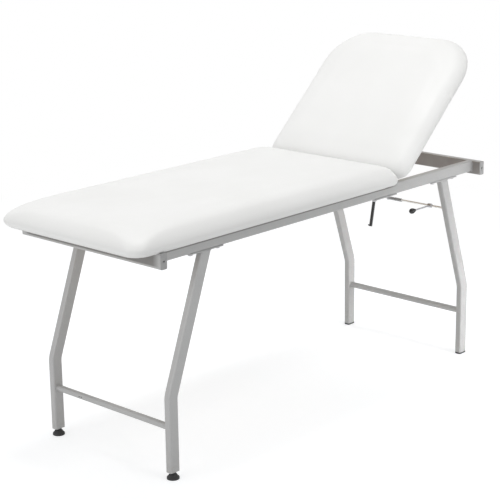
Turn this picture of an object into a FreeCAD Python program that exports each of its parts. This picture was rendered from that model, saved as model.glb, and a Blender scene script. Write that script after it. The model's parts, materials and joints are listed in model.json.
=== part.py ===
import FreeCAD, Part
import math
import os
from FreeCAD import Vector

# Examination couch with a fixed seat section and a hinged backrest, in millimetres.
# +X runs from the foot end to the head end, +Y to the left as seen from the foot end, +Z up.
# The origin is on the floor, under the middle of the couch as it stands with its backrest raised.

# Driving sizes of the frame
FRAME_LENGTH = 1682.0
FRAME_TOP = 755.0
CROSS_TUBE_HEIGHT = 50.0
CROSS_TUBE_WIDTH = 25.0
RAIL_HEIGHT = 40.0
RAIL_WIDTH = 25.0
RAIL_INSET = 44.5
TUBE_WALL = 2.0
TUBE_CORNER = 4.0
CAP_THICKNESS = 3.0
CAP_DEPTH = 14.0
CAP_HOLE_RADIUS = 3.5
PLUG_CLEARANCE = 0.2

# Driving sizes of the legs
LEG_DEPTH = 40.0
LEG_WIDTH = 25.0
LEG_CORNER = 6.0
FOOT_LEG_INSET = 70.0
HEAD_LEG_INSET = 54.0
FOOT_LEG_LEAN = 160.0
HEAD_LEG_LEAN = 146.0
LEG_BEND_HEIGHT = 273.0
LEG_BEND_RADIUS = 70.0
LEG_BOLT_MARGIN = 15.0
LEG_PLATE_THICKNESS = 4.0
LEG_BOLT_PITCH = 120.0
STRETCHER_RADIUS = 11.0
STRETCHER_HEIGHT = 170.0
LEVELLER_RADIUS = 20.5
LEVELLER_THICKNESS = 7.0
LEVELLER_SHOULDER = 12.0
LEVELLER_SHOULDER_INSET = 3.0
LEVELLER_NECK_RADIUS = 9.0
LEVELLER_HEIGHT = 24.0
LEVELLER_STEM_RADIUS = 5.0
LEVELLER_STEM_LENGTH = 42.0
LEG_CAP_HEIGHT = 6.0
LEG_PLUG_DEPTH = 30.0

# Driving sizes of the bolts and screws
BOLT_RADIUS = 4.0
BOLT_HEAD_FLATS = 13.0
BOLT_HEAD_HEIGHT = 5.5
BOLT_REACH = 16.0
NUT_RADIUS = 7.0
NUT_HEIGHT = 9.0
HOLE_CLEARANCE = 0.5
SCREW_RADIUS = 2.0
SCREW_HEAD_RADIUS = 4.0
SCREW_HEAD_HEIGHT = 2.4
SCREW_LENGTH = 11.0
RUNNING_CLEARANCE = 0.05
SEAT_GAP = 0.3

# Driving sizes of the upholstery
SEAT_OVERHANG = 100.0
SEAT_LENGTH = 1272.0
SEAT_HEIGHT = 76.0
SEAT_CORNER = 50.0
SEAT_TOP_ROUNDING = 0.94
SEAT_CORNER_RISE = 4.4
SEAT_END_CORNER = 30.0
CUSHION_WIDTH = 648.0
CUSHION_SIDE_OVERHANG = 4.0
BACKREST_LENGTH = 628.0
BACKREST_HEIGHT = 58.0
BACKREST_CORNER = 170.0
BACKREST_END_CORNER = 45.0
BACKREST_ANGLE = 42.7
BACKREST_LIFT = 3.0
BOARD_THICKNESS = 15.0
BOARD_INSET = 16.0
SEAT_CROSS_TUBE_SHARE = 0.5
SEAT_BRACKET_SHARES = (0.15, 0.8)
SEAT_BRACKET_LENGTH = 40.0
SEAT_BRACKET_REACH = 30.0
BUMPER_LENGTH = 30.0
BUMPER_WIDTH = 18.0
BUMPER_INSETS = (60.0, 330.0)

# Driving sizes of the backrest hinges
HINGE_SETBACK = 30.0
HINGE_START = 5.0
HINGE_INSET = 85.5
KNUCKLE_RADIUS = 6.0
KNUCKLE_COVER = 1.0
HINGE_PIN_RADIUS = 3.0
HINGE_WIDTH = 84.0
HINGE_FIXED_KNUCKLE = 30.0
HINGE_END_GAP = 0.4
LEAF_THICKNESS = 3.0
LEAF_REACH = 36.0
LEAF_SCREW_SHARE = 0.3
RAIL_PLATE_START = 135.0
RAIL_PLATE_WIDTH = 53.0
RAIL_PLATE_BOLTS = (15.0, 99.0)

# Driving sizes of the backrest strut
STRUT_INSET = 135.5
STRUT_PIVOT_REACH = 54.0
STRUT_PIVOT_DROP = 85.0
STRUT_ARM = 99.0
STRUT_ARM_DROP = 14.0
STRUT_RADIUS = 5.8
STRUT_TAIL = 104.0
STRUT_HEAD = 58.0
STRUT_BORE_RADIUS = 4.7
STRUT_GUIDE_LENGTH = 10.0
STRUT_GUIDE_RADIUS = 7.0
STRUT_ROD_RADIUS = 3.5
STRUT_ROD_LENGTH = 150.0
STRUT_ROD_PLAY = 0.9
STRUT_EYE_RADIUS = 9.0
STRUT_EYE_WIDTH = 10.0
STRUT_PIN_RADIUS = 4.0
COLLAR_RADIUS = 8.5
COLLAR_LENGTH = 22.0
TRUNNION_RADIUS = 5.0
CHEEK_THICKNESS = 4.0
CHEEK_CLEARANCE = 0.5
CHEEK_RADIUS = 12.0
BRACKET_WIDTH = 46.0
BRACKET_BASE_LENGTH = 52.0
BRACKET_BASE_THICKNESS = 3.0
BRACKET_SCREW_SHARE = 0.36
TAIL_PIN_RADIUS = 2.5
TAIL_PIN_LENGTH = 11.0
TAIL_LUG_SHARE = 2.4
TAIL_CAP_LENGTH = 10.0

# Driving sizes of the release shaft and lever
SHAFT_HEIGHT = 594.0
SHAFT_RADIUS = 4.0
BUSH_RADIUS = 6.0
BUSH_FLANGE_RADIUS = 9.0
BUSH_FLANGE = 3.0
LEVER_INSET = 79.5
LEVER_RADIUS = 3.0
LEVER_LENGTH = 92.0
LEVER_HUB_RADIUS = 8.0
LEVER_HUB_WIDTH = 16.0
KNOB_LENGTH = 32.0
KNOB_RADIUS = 10.0
KNOB_PROFILE = ((0.3, 0.8), (0.65, 1.0), (0.92, 0.66), (1.0, 0.0))
FINGER_LENGTH = 30.0
FINGER_THICKNESS = 5.0
SPRING_TURNS = 16
SPRING_PITCH = 3.8
SPRING_WIRE_RADIUS = 0.8
SPRING_SHAFT_GAP = 0.7

# Places worked out from the driving sizes
OVERALL_LENGTH = FRAME_LENGTH + SEAT_OVERHANG
X_SEAT_FOOT = -OVERALL_LENGTH / 2
X_FOOT = X_SEAT_FOOT + SEAT_OVERHANG
X_HEAD = OVERALL_LENGTH / 2
X_RAIL_START = X_FOOT + CROSS_TUBE_WIDTH
X_RAIL_END = X_HEAD - CROSS_TUBE_WIDTH
X_SEAT_END = X_SEAT_FOOT + SEAT_LENGTH
CROSS_TUBE_LENGTH = CUSHION_WIDTH - 2 * CUSHION_SIDE_OVERHANG
RAIL_Y = CROSS_TUBE_LENGTH / 2 - RAIL_INSET
HINGE_SPREAD = 2 * (RAIL_Y - HINGE_INSET)
STRUT_Y = STRUT_INSET - RAIL_Y
LEVER_Y = LEVER_INSET - RAIL_Y
RAIL_INNER_Y = RAIL_Y - RAIL_WIDTH / 2
RAIL_BOTTOM = FRAME_TOP - RAIL_HEIGHT
LEG_INNER_Y = RAIL_Y - LEG_WIDTH / 2
LEG_TOP = RAIL_BOTTOM - LEG_PLATE_THICKNESS
LEG_PLATE_LENGTH = LEG_BOLT_PITCH + 2 * LEG_BOLT_MARGIN
FOOT_LEG_X = X_FOOT + FOOT_LEG_INSET
HEAD_LEG_X = X_HEAD - HEAD_LEG_INSET
CUSHION_BOTTOM = FRAME_TOP + SEAT_GAP
BACKREST_BOTTOM = FRAME_TOP + BACKREST_LIFT
HINGE_X = X_SEAT_END + HINGE_SETBACK
HINGE_Z = BACKREST_BOTTOM - KNUCKLE_RADIUS - KNUCKLE_COVER
HINGE_TUBE_X1 = HINGE_X - KNUCKLE_RADIUS - KNUCKLE_COVER
HINGE_TUBE_X0 = HINGE_TUBE_X1 - RAIL_WIDTH
STRUT_PIVOT = Vector(HINGE_X + STRUT_PIVOT_REACH, STRUT_Y, FRAME_TOP - STRUT_PIVOT_DROP)
HINGE_POINT = Vector(HINGE_X, 0, HINGE_Z)
AXIS_X = Vector(1, 0, 0)
AXIS_Y = Vector(0, 1, 0)
AXIS_Z = Vector(0, 0, 1)
SIDES = {"left": 1, "right": -1}

# Cushion profile: inset from the sides, inset at the rolled end, and share of the cushion's height
CUSHION_PROFILE = (
    (11.0, 4.0, 0.0),
    (4.0, 0.8, 0.1),
    (0.0, 0.0, 0.24),
    (3.0, 4.0, 0.39),
    (9.0, 10.0, 0.54),
    (20.0, 22.0, 0.72),
    (34.0, 41.0, 0.87),
    (52.0, 70.0, 0.96),
    (95.0, 125.0, 1.0),
)


def block(x0, x1, y0, y1, z0, z1):
    return Part.makeBox(x1 - x0, y1 - y0, z1 - z0, Vector(x0, y0, z0))


def rod(start, direction, radius, length):
    return Part.makeCylinder(radius, length, start, direction)


def rounded_loop(place, corners):
    """Closed loop of four quarter arcs joined by lines; each corner is its arc's centre and radius."""
    points = []
    for turn, (a, b, radius) in enumerate(corners):
        for step in (0, 45, 90):
            angle = math.radians(90 * turn + step)
            points.append(place(a + radius * math.cos(angle), b + radius * math.sin(angle)))
    edges = []
    for first in range(0, len(points), 3):
        edges.append(Part.Arc(*points[first:first + 3]).toShape())
        edges.append(Part.makeLine(points[first + 2], points[(first + 3) % len(points)]))
    return Part.Wire(edges)


def rounded_wire(centre, across, up, width, height, radius):
    """Closed rounded rectangle, width along `across` and height along `up`."""
    a = width / 2 - radius
    b = height / 2 - radius
    corners = [(a, b, radius), (-a, b, radius), (-a, -b, radius), (a, -b, radius)]
    return rounded_loop(lambda p, q: centre + across * p + up * q, corners)


def bar(centre, across, up, width, height, radius, run):
    return Part.Face(rounded_wire(centre, across, up, width, height, radius)).extrude(run)


def tube(centre, across, up, width, height, run):
    outer = bar(centre, across, up, width, height, TUBE_CORNER, run)
    bore_width = width - 2 * TUBE_WALL
    bore_height = height - 2 * TUBE_WALL
    return outer.cut(bar(centre, across, up, bore_width, bore_height, TUBE_CORNER - TUBE_WALL, run))


def raised(shape):
    """Turn a flat backrest shape up about the hinge axis."""
    copy = shape.copy()
    copy.rotate(HINGE_POINT, Vector(0, -1, 0), BACKREST_ANGLE)
    return copy


def save(name, shape):
    shape.exportStep(os.path.join("parts", name + ".step"))


def hex_bolt(x, y, seat_z):
    """Hexagon bolt that points up, with its head under seat_z."""
    corner = BOLT_HEAD_FLATS / math.sqrt(3)
    points = []
    for step in range(7):
        angle = math.radians(60 * step)
        points.append(Vector(x + corner * math.cos(angle), y + corner * math.sin(angle), seat_z))
    head = Part.Face(Part.makePolygon(points)).extrude(AXIS_Z * -BOLT_HEAD_HEIGHT)
    return head.fuse(rod(Vector(x, y, seat_z), AXIS_Z, BOLT_RADIUS, BOLT_REACH)).removeSplitter()


def screw(point, direction):
    """Pan head screw: the head's seat is at the point, the shank runs along direction."""
    head = rod(point - direction * SCREW_HEAD_HEIGHT, direction, SCREW_HEAD_RADIUS, SCREW_HEAD_HEIGHT)
    return head.fuse(rod(point, direction, SCREW_RADIUS, SCREW_LENGTH)).removeSplitter()


def screw_hole(point, direction):
    start = point - direction * SCREW_HEAD_HEIGHT
    radius = SCREW_RADIUS + RUNNING_CLEARANCE
    return rod(start, direction, radius, SCREW_HEAD_HEIGHT + SCREW_LENGTH + HOLE_CLEARANCE)


# Fastener places along the rails
def leg_top_x(end):
    if end == "foot":
        return FOOT_LEG_X + FOOT_LEG_LEAN
    return HEAD_LEG_X - HEAD_LEG_LEAN


RAIL_PLATE_X0 = HINGE_X - RAIL_PLATE_START
BOLT_XS = [leg_top_x(end) + share * LEG_BOLT_PITCH for end in ("foot", "head") for share in (-0.5, 0.5)]
BOLT_XS += [RAIL_PLATE_X0 + offset for offset in RAIL_PLATE_BOLTS]


def bolt_holes(y):
    radius = BOLT_RADIUS + HOLE_CLEARANCE
    low = RAIL_BOTTOM - LEG_PLATE_THICKNESS
    return [rod(Vector(x, y, low), AXIS_Z, radius, LEG_PLATE_THICKNESS + TUBE_WALL) for x in BOLT_XS]


# Frame rails and cross tubes
def seat_bracket_places():
    span = X_SEAT_END - X_FOOT
    return [X_FOOT + span * share for share in SEAT_BRACKET_SHARES]


def bracket_screws(y_sign):
    y = y_sign * (RAIL_INNER_Y - SEAT_BRACKET_REACH / 2)
    return [Vector(x, y, FRAME_TOP - LEAF_THICKNESS) for x in seat_bracket_places()]


def build_frame():
    for side, sign in SIDES.items():
        centre = Vector(X_RAIL_START, sign * RAIL_Y, FRAME_TOP - RAIL_HEIGHT / 2)
        run = AXIS_X * (X_RAIL_END - X_RAIL_START)
        rail = tube(centre, AXIS_Y, AXIS_Z, RAIL_WIDTH, RAIL_HEIGHT, run)
        save("side_rail_" + side, rail.cut(bolt_holes(sign * RAIL_Y)))
    caps = []
    for end, x in (("foot", X_FOOT), ("head", X_RAIL_END)):
        middle = Vector(x + CROSS_TUBE_WIDTH / 2, -CROSS_TUBE_LENGTH / 2, FRAME_TOP - CROSS_TUBE_HEIGHT / 2)
        run = AXIS_Y * CROSS_TUBE_LENGTH
        save(end + "_cross_tube", tube(middle, AXIS_X, AXIS_Z, CROSS_TUBE_WIDTH, CROSS_TUBE_HEIGHT, run))
        for sign in SIDES.values():
            caps.append(cross_tube_cap(middle.x, sign, middle.z))
    save("cross_tube_caps", Part.makeCompound(caps))
    inner_run = AXIS_Y * 2 * RAIL_INNER_Y
    hinge_centre = Vector((HINGE_TUBE_X0 + HINGE_TUBE_X1) / 2, -RAIL_INNER_Y, FRAME_TOP - RAIL_HEIGHT / 2)
    hinge_tube = tube(hinge_centre, AXIS_X, AXIS_Z, RAIL_WIDTH, RAIL_HEIGHT, inner_run)
    save("hinge_cross_tube", hinge_tube.cut([screw_hole(*place) for place in fixed_leaf_screws()]))
    seat_x = X_RAIL_START + (HINGE_TUBE_X0 - X_RAIL_START) * SEAT_CROSS_TUBE_SHARE
    seat_centre = Vector(seat_x, -RAIL_INNER_Y, FRAME_TOP - RAIL_HEIGHT / 2)
    save("seat_cross_tube", tube(seat_centre, AXIS_X, AXIS_Z, RAIL_WIDTH, RAIL_HEIGHT, inner_run))


def cross_tube_cap(x, sign, z):
    face_y = sign * CROSS_TUBE_LENGTH / 2
    outward = AXIS_Y * sign
    head_centre = Vector(x, face_y, z)
    head = bar(head_centre, AXIS_X, AXIS_Z, CROSS_TUBE_WIDTH, CROSS_TUBE_HEIGHT, TUBE_CORNER,
               outward * CAP_THICKNESS)
    inset = 2 * (TUBE_WALL + PLUG_CLEARANCE)
    plug = bar(head_centre, AXIS_X, AXIS_Z, CROSS_TUBE_WIDTH - inset, CROSS_TUBE_HEIGHT - inset,
               TUBE_CORNER - TUBE_WALL, outward * -CAP_DEPTH)
    mouth = Vector(x, face_y + sign * CAP_THICKNESS, z)
    vent = rod(mouth, outward * -1, CAP_HOLE_RADIUS, CAP_THICKNESS + CAP_DEPTH)
    return head.fuse(plug).removeSplitter().cut(vent)


# Legs with their plates, stretchers and feet
def leg_axis_x(end, z):
    """Middle of the leaning part of a leg at height z."""
    foot_x = FOOT_LEG_X if end == "foot" else HEAD_LEG_X
    share = (z - LEG_BEND_HEIGHT) / (LEG_TOP - LEG_BEND_HEIGHT)
    return foot_x + (leg_top_x(end) - foot_x) * share


def leg_path(end, y, low):
    foot_x = leg_axis_x(end, LEG_BEND_HEIGHT)
    bend = Vector(foot_x, y, LEG_BEND_HEIGHT)
    top = Vector(leg_top_x(end), y, LEG_TOP)
    lean = (top - bend).normalize()
    turn = lean.getAngle(AXIS_Z)
    tangent = LEG_BEND_RADIUS * math.tan(turn / 2)
    start = bend - AXIS_Z * tangent
    finish = bend + lean * tangent
    inward = (lean - AXIS_Z).normalize()
    middle = bend + inward * (LEG_BEND_RADIUS * (1 / math.cos(turn / 2) - 1))
    top_over = top + lean * LEG_DEPTH
    edges = [
        Part.makeLine(Vector(foot_x, y, low), start),
        Part.Arc(start, middle, finish).toShape(),
        Part.makeLine(finish, top_over),
    ]
    return Part.Wire(edges)


def leg_sweep(end, y, low, width, depth, corner):
    path = leg_path(end, y, low)
    start = Vector(leg_axis_x(end, LEG_BEND_HEIGHT), y, low)
    section = rounded_wire(start, AXIS_X, AXIS_Y, depth, width, corner)
    return path.makePipeShell([section], True, True)


def build_leg(end, side, sign, low):
    y = sign * RAIL_Y
    outer = leg_sweep(end, y, low, LEG_WIDTH, LEG_DEPTH, LEG_CORNER)
    inner_size = (LEG_WIDTH - 2 * TUBE_WALL, LEG_DEPTH - 2 * TUBE_WALL)
    leg = outer.cut(leg_sweep(end, y, low, *inner_size, LEG_CORNER - TUBE_WALL))
    top_x = leg_top_x(end)
    reach = LEG_PLATE_LENGTH
    above = block(top_x - reach, top_x + reach, y - LEG_WIDTH, y + LEG_WIDTH, LEG_TOP, LEG_TOP + reach)
    leg = leg.cut(above)
    if end == "head":
        centre = Vector(leg_axis_x("head", SHAFT_HEIGHT), y, SHAFT_HEIGHT)
        hole = rod(centre, AXIS_Y * -sign, BUSH_RADIUS + RUNNING_CLEARANCE, LEG_WIDTH)
        leg = leg.cut(hole)
    save("%s_leg_%s" % (end, side), leg)
    half = LEG_PLATE_LENGTH / 2
    plate = block(top_x - half, top_x + half, y - RAIL_WIDTH / 2, y + RAIL_WIDTH / 2, LEG_TOP, RAIL_BOTTOM)
    save("%s_leg_plate_%s" % (end, side), plate.cut(bolt_holes(y)))


def leg_plug(x, y, z0, z1):
    inset = 2 * (TUBE_WALL + PLUG_CLEARANCE)
    return bar(Vector(x, y, z0), AXIS_X, AXIS_Y, LEG_DEPTH - inset, LEG_WIDTH - inset,
               LEG_CORNER - TUBE_WALL, AXIS_Z * (z1 - z0))


def build_legs():
    for side, sign in SIDES.items():
        y = sign * RAIL_Y
        build_leg("foot", side, sign, LEVELLER_HEIGHT)
        build_leg("head", side, sign, LEG_CAP_HEIGHT)
        plug = leg_plug(FOOT_LEG_X, y, LEVELLER_HEIGHT, LEVELLER_HEIGHT + LEG_PLUG_DEPTH)
        thread = rod(Vector(FOOT_LEG_X, y, 0), AXIS_Z, LEVELLER_STEM_RADIUS + RUNNING_CLEARANCE,
                     LEVELLER_HEIGHT + LEG_PLUG_DEPTH)
        save("leveller_plug_" + side, plug.cut(thread))
        save("levelling_foot_" + side, levelling_foot(FOOT_LEG_X, y))
        cap = bar(Vector(HEAD_LEG_X, y, 0), AXIS_X, AXIS_Y, LEG_DEPTH, LEG_WIDTH, LEG_CORNER,
                  AXIS_Z * LEG_CAP_HEIGHT)
        cap_plug = leg_plug(HEAD_LEG_X, y, LEG_CAP_HEIGHT, LEG_PLUG_DEPTH)
        save("head_leg_cap_" + side, cap.fuse(cap_plug).removeSplitter())
    for end, x in (("foot", FOOT_LEG_X), ("head", HEAD_LEG_X)):
        start = Vector(x, -LEG_INNER_Y, STRETCHER_HEIGHT)
        outer = rod(start, AXIS_Y, STRETCHER_RADIUS, 2 * LEG_INNER_Y)
        bore = rod(start, AXIS_Y, STRETCHER_RADIUS - TUBE_WALL, 2 * LEG_INNER_Y)
        save(end + "_stretcher", outer.cut(bore))


def levelling_foot(x, y):
    disc = rod(Vector(x, y, 0), AXIS_Z, LEVELLER_RADIUS, LEVELLER_THICKNESS)
    rim = [edge for edge in disc.Edges if edge.BoundBox.ZMin > LEVELLER_THICKNESS / 2]
    disc = disc.makeFillet(LEVELLER_THICKNESS / 3, rim)
    shoulder = Part.makeCone(LEVELLER_RADIUS - LEVELLER_SHOULDER_INSET, LEVELLER_NECK_RADIUS,
                             LEVELLER_SHOULDER, Vector(x, y, LEVELLER_THICKNESS), AXIS_Z)
    neck_height = LEVELLER_HEIGHT - SEAT_GAP
    neck = rod(Vector(x, y, 0), AXIS_Z, LEVELLER_NECK_RADIUS, neck_height)
    stem = rod(Vector(x, y, 0), AXIS_Z, LEVELLER_STEM_RADIUS, neck_height + LEVELLER_STEM_LENGTH)
    return disc.fuse([shoulder, neck, stem]).removeSplitter()


# Plates and bolts under the rails
def build_rail_plates():
    bolts = []
    nuts = []
    for side, sign in SIDES.items():
        y = sign * RAIL_Y
        outer_y = sign * (RAIL_Y + RAIL_WIDTH / 2)
        inner_y = outer_y - sign * RAIL_PLATE_WIDTH
        low_y, high_y = sorted((outer_y, inner_y))
        plate = block(RAIL_PLATE_X0, HINGE_TUBE_X1, low_y, high_y, LEG_TOP, RAIL_BOTTOM)
        save("rail_plate_" + side, plate.cut(bolt_holes(y)))
        for x in BOLT_XS:
            bolts.append(hex_bolt(x, y, LEG_TOP))
            seat = Vector(x, y, RAIL_BOTTOM + TUBE_WALL)
            ring = rod(seat, AXIS_Z, NUT_RADIUS, NUT_HEIGHT)
            nuts.append(ring.cut(rod(seat, AXIS_Z, BOLT_RADIUS + RUNNING_CLEARANCE, NUT_HEIGHT)))
    save("frame_bolts", Part.makeCompound(bolts))
    save("rail_nuts", Part.makeCompound(nuts))


# Upholstery: boards, cushions and what carries them
def cushion_wire(x0, x1, half_width, start_corner, end_corner, z):
    """Plan outline with its own corner radius at each end."""
    corners = []
    for end_x, inward, y_sign, corner in (
        (x1, -1, 1, end_corner),
        (x0, 1, 1, start_corner),
        (x0, 1, -1, start_corner),
        (x1, -1, -1, end_corner),
    ):
        corners.append((end_x + inward * corner, y_sign * (half_width - corner), corner))
    return rounded_loop(lambda x, y: Vector(x, y, z), corners)


def inset_corner(corner, inset):
    return max(corner - inset, corner / 3)


def seat_corner(inset, height_share):
    """The seat's foot corners are tight below and open out towards the lying surface."""
    top_corner = SEAT_TOP_ROUNDING * (CUSHION_WIDTH / 2 - CUSHION_PROFILE[-1][0])
    return SEAT_CORNER + (top_corner - SEAT_CORNER) * height_share ** SEAT_CORNER_RISE


def backrest_corner(inset, height_share):
    return inset_corner(BACKREST_CORNER, inset)


def cushion(x0, x1, bottom, thickness, plain_corner, rolled_corner, rolled_at_start):
    """Crowned cushion, drawn in below, with one end rolled over further than the other."""
    wires = []
    for side_inset, rolled_inset, height_share in CUSHION_PROFILE:
        half_width = CUSHION_WIDTH / 2 - side_inset
        insets = (side_inset, rolled_inset)
        corners = (plain_corner(side_inset, height_share), rolled_corner)
        if rolled_at_start:
            insets = insets[::-1]
            corners = corners[::-1]
        z = bottom + thickness * height_share
        wires.append(cushion_wire(x0 + insets[0], x1 - insets[1], half_width, *corners, z))
    return Part.makeLoft(wires, True, True)


def board(x0, x1, bottom, start_corner, end_corner, clearance):
    wire = cushion_wire(x0 + BOARD_INSET - clearance, x1 - BOARD_INSET + clearance,
                        CUSHION_WIDTH / 2 - BOARD_INSET + clearance, start_corner, end_corner, bottom)
    return Part.Face(wire).extrude(AXIS_Z * BOARD_THICKNESS)


def build_seat():
    solid = cushion(X_SEAT_FOOT, X_SEAT_END, CUSHION_BOTTOM, SEAT_HEIGHT, seat_corner,
                    SEAT_END_CORNER, False)
    corners = (SEAT_CORNER, SEAT_END_CORNER)
    pocket = board(X_SEAT_FOOT, X_SEAT_END, FRAME_TOP, *corners, SEAT_GAP)
    save("seat_cushion", solid.cut(pocket))
    holes = []
    screws = []
    brackets = []
    for sign in SIDES.values():
        for point in bracket_screws(sign):
            holes.append(screw_hole(point, AXIS_Z))
            screws.append(screw(point, AXIS_Z))
            brackets.append(seat_bracket(point, sign))
    plain_board = board(X_SEAT_FOOT, X_SEAT_END, FRAME_TOP, *corners, 0)
    save("seat_board", plain_board.cut(holes))
    save("seat_brackets", Part.makeCompound(brackets))
    save("seat_screws", Part.makeCompound(screws))


def seat_bracket(point, sign):
    """Angle under the seat board, flat against the rail's inner face."""
    half = SEAT_BRACKET_LENGTH / 2
    rail_y = sign * RAIL_INNER_Y
    low_y, high_y = sorted((rail_y, rail_y - sign * SEAT_BRACKET_REACH))
    top = block(point.x - half, point.x + half, low_y, high_y, point.z, FRAME_TOP)
    low_y, high_y = sorted((rail_y, rail_y - sign * LEAF_THICKNESS))
    wall = block(point.x - half, point.x + half, low_y, high_y, FRAME_TOP - SEAT_BRACKET_REACH, FRAME_TOP)
    return top.fuse(wall).removeSplitter().cut(screw_hole(point, AXIS_Z))


X_BACK_START = HINGE_X + HINGE_START
X_BACK_END = X_BACK_START + BACKREST_LENGTH


def build_backrest():
    solid = cushion(X_BACK_START, X_BACK_END, BACKREST_BOTTOM, BACKREST_HEIGHT, backrest_corner,
                    BACKREST_END_CORNER, True)
    corners = (BACKREST_END_CORNER, inset_corner(BACKREST_CORNER, BOARD_INSET))
    pocket = board(X_BACK_START, X_BACK_END, BACKREST_BOTTOM, *corners, SEAT_GAP)
    save("backrest_cushion", raised(solid.cut(pocket)))
    plain_board = board(X_BACK_START, X_BACK_END, BACKREST_BOTTOM, *corners, 0)
    places = moving_leaf_screws() + strut_bracket_screws()
    save("backrest_board", raised(plain_board.cut([screw_hole(*place) for place in places])))
    bumpers = []
    for sign in SIDES.values():
        for inset in BUMPER_INSETS:
            x0 = X_RAIL_END - inset - BUMPER_LENGTH / 2
            y0 = sign * RAIL_Y - BUMPER_WIDTH / 2
            bumpers.append(raised(block(x0, x0 + BUMPER_LENGTH, y0, y0 + BUMPER_WIDTH,
                                        FRAME_TOP + SEAT_GAP, BACKREST_BOTTOM)))
    save("backrest_bumpers", Part.makeCompound(bumpers))


# Hinges between the hinge cross tube and the backrest board
LEAF_Z = (RAIL_BOTTOM + HINGE_Z - KNUCKLE_RADIUS - KNUCKLE_COVER) / 2
MOVING_LEAF_X0 = HINGE_X + KNUCKLE_RADIUS + KNUCKLE_COVER


def fixed_leaf_screws():
    x = HINGE_TUBE_X1 + LEAF_THICKNESS
    return [
        (Vector(x, sign * HINGE_SPREAD / 2 + share * HINGE_WIDTH, LEAF_Z), Vector(-1, 0, 0))
        for sign in SIDES.values() for share in (-LEAF_SCREW_SHARE, LEAF_SCREW_SHARE)
    ]


def moving_leaf_screws():
    z = BACKREST_BOTTOM - LEAF_THICKNESS
    x = MOVING_LEAF_X0 + LEAF_REACH / 2
    return [
        (Vector(x, sign * HINGE_SPREAD / 2 + share * HINGE_WIDTH, z), AXIS_Z)
        for sign in SIDES.values() for share in (-LEAF_SCREW_SHARE, LEAF_SCREW_SHARE)
    ]


def knuckle(y, width):
    start = Vector(HINGE_X, y - width / 2, HINGE_Z)
    return rod(start, AXIS_Y, KNUCKLE_RADIUS, width)


def pin_hole(y):
    start = Vector(HINGE_X, y - HINGE_WIDTH, HINGE_Z)
    return rod(start, AXIS_Y, HINGE_PIN_RADIUS + RUNNING_CLEARANCE, 2 * HINGE_WIDTH)


def build_hinges():
    for side, sign in SIDES.items():
        y = sign * HINGE_SPREAD / 2
        half = HINGE_WIDTH / 2
        leaf_x1 = HINGE_TUBE_X1 + LEAF_THICKNESS
        leaf_top = HINGE_Z - KNUCKLE_RADIUS - KNUCKLE_COVER
        leaf = block(HINGE_TUBE_X1, leaf_x1, y - half, y + half, RAIL_BOTTOM, leaf_top)
        fixed_half = HINGE_FIXED_KNUCKLE / 2
        tab = block(HINGE_TUBE_X1, leaf_x1, y - fixed_half, y + fixed_half, leaf_top, HINGE_Z)
        fixed = leaf.fuse([tab, knuckle(y, HINGE_FIXED_KNUCKLE)]).removeSplitter()
        fixed = fixed.cut([pin_hole(y)] + [screw_hole(*place) for place in fixed_leaf_screws()])
        save("fixed_leaf_" + side, fixed)
        plate = block(MOVING_LEAF_X0, MOVING_LEAF_X0 + LEAF_REACH, y - half, y + half,
                      BACKREST_BOTTOM - LEAF_THICKNESS, BACKREST_BOTTOM)
        pieces = []
        width = half - fixed_half - HINGE_END_GAP
        for end in (-1, 1):
            middle = y + end * (half - width / 2)
            pieces.append(knuckle(middle, width))
            pieces.append(block(HINGE_X, MOVING_LEAF_X0, middle - width / 2, middle + width / 2,
                                BACKREST_BOTTOM - LEAF_THICKNESS, BACKREST_BOTTOM - KNUCKLE_COVER))
        moving = plate.fuse(pieces).removeSplitter()
        moving = moving.cut([pin_hole(y)] + [screw_hole(*place) for place in moving_leaf_screws()])
        save("moving_leaf_" + side, raised(moving))
        pin_start = Vector(HINGE_X, y - half, HINGE_Z)
        save("hinge_pin_" + side, rod(pin_start, AXIS_Y, HINGE_PIN_RADIUS, HINGE_WIDTH))
    save("fixed_leaf_screws", Part.makeCompound([screw(*place) for place in fixed_leaf_screws()]))
    moving_screws = [raised(screw(*place)) for place in moving_leaf_screws()]
    save("moving_leaf_screws", Part.makeCompound(moving_screws))


# Locking strut that holds the backrest
STRUT_EYE_FLAT = Vector(HINGE_X + STRUT_ARM, STRUT_Y, HINGE_Z - STRUT_ARM_DROP)


def strut_eye_point():
    marker = Part.Vertex(STRUT_EYE_FLAT)
    return raised(marker).Point


def strut_bracket_screws():
    z = BACKREST_BOTTOM - BRACKET_BASE_THICKNESS
    places = []
    for x_sign in (-1, 1):
        for y_sign in (-1, 1):
            x = STRUT_EYE_FLAT.x + x_sign * BRACKET_SCREW_SHARE * BRACKET_BASE_LENGTH
            y = STRUT_Y + y_sign * BRACKET_SCREW_SHARE * BRACKET_WIDTH
            places.append((Vector(x, y, z), AXIS_Z))
    return places


def cheek_pair(outline, gap):
    """Two plates cut from an XZ outline, either side of the strut's middle plane."""
    face = Part.Face(Part.makePolygon(outline + [outline[0]]))
    plates = []
    for sign in SIDES.values():
        plate = face.extrude(AXIS_Y * CHEEK_THICKNESS)
        shift = STRUT_Y + (gap / 2 if sign > 0 else -gap / 2 - CHEEK_THICKNESS)
        plate.translate(AXIS_Y * shift)
        plates.append(plate)
    return plates


def cheek_discs(point, gap):
    discs = []
    for start_y in (STRUT_Y + gap / 2, STRUT_Y - gap / 2 - CHEEK_THICKNESS):
        discs.append(rod(Vector(point.x, start_y, point.z), AXIS_Y, CHEEK_RADIUS, CHEEK_THICKNESS))
    return discs


def cross_hole(point, radius):
    start = Vector(point.x, STRUT_Y - BRACKET_WIDTH, point.z)
    return rod(start, AXIS_Y, radius, 2 * BRACKET_WIDTH)


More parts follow.
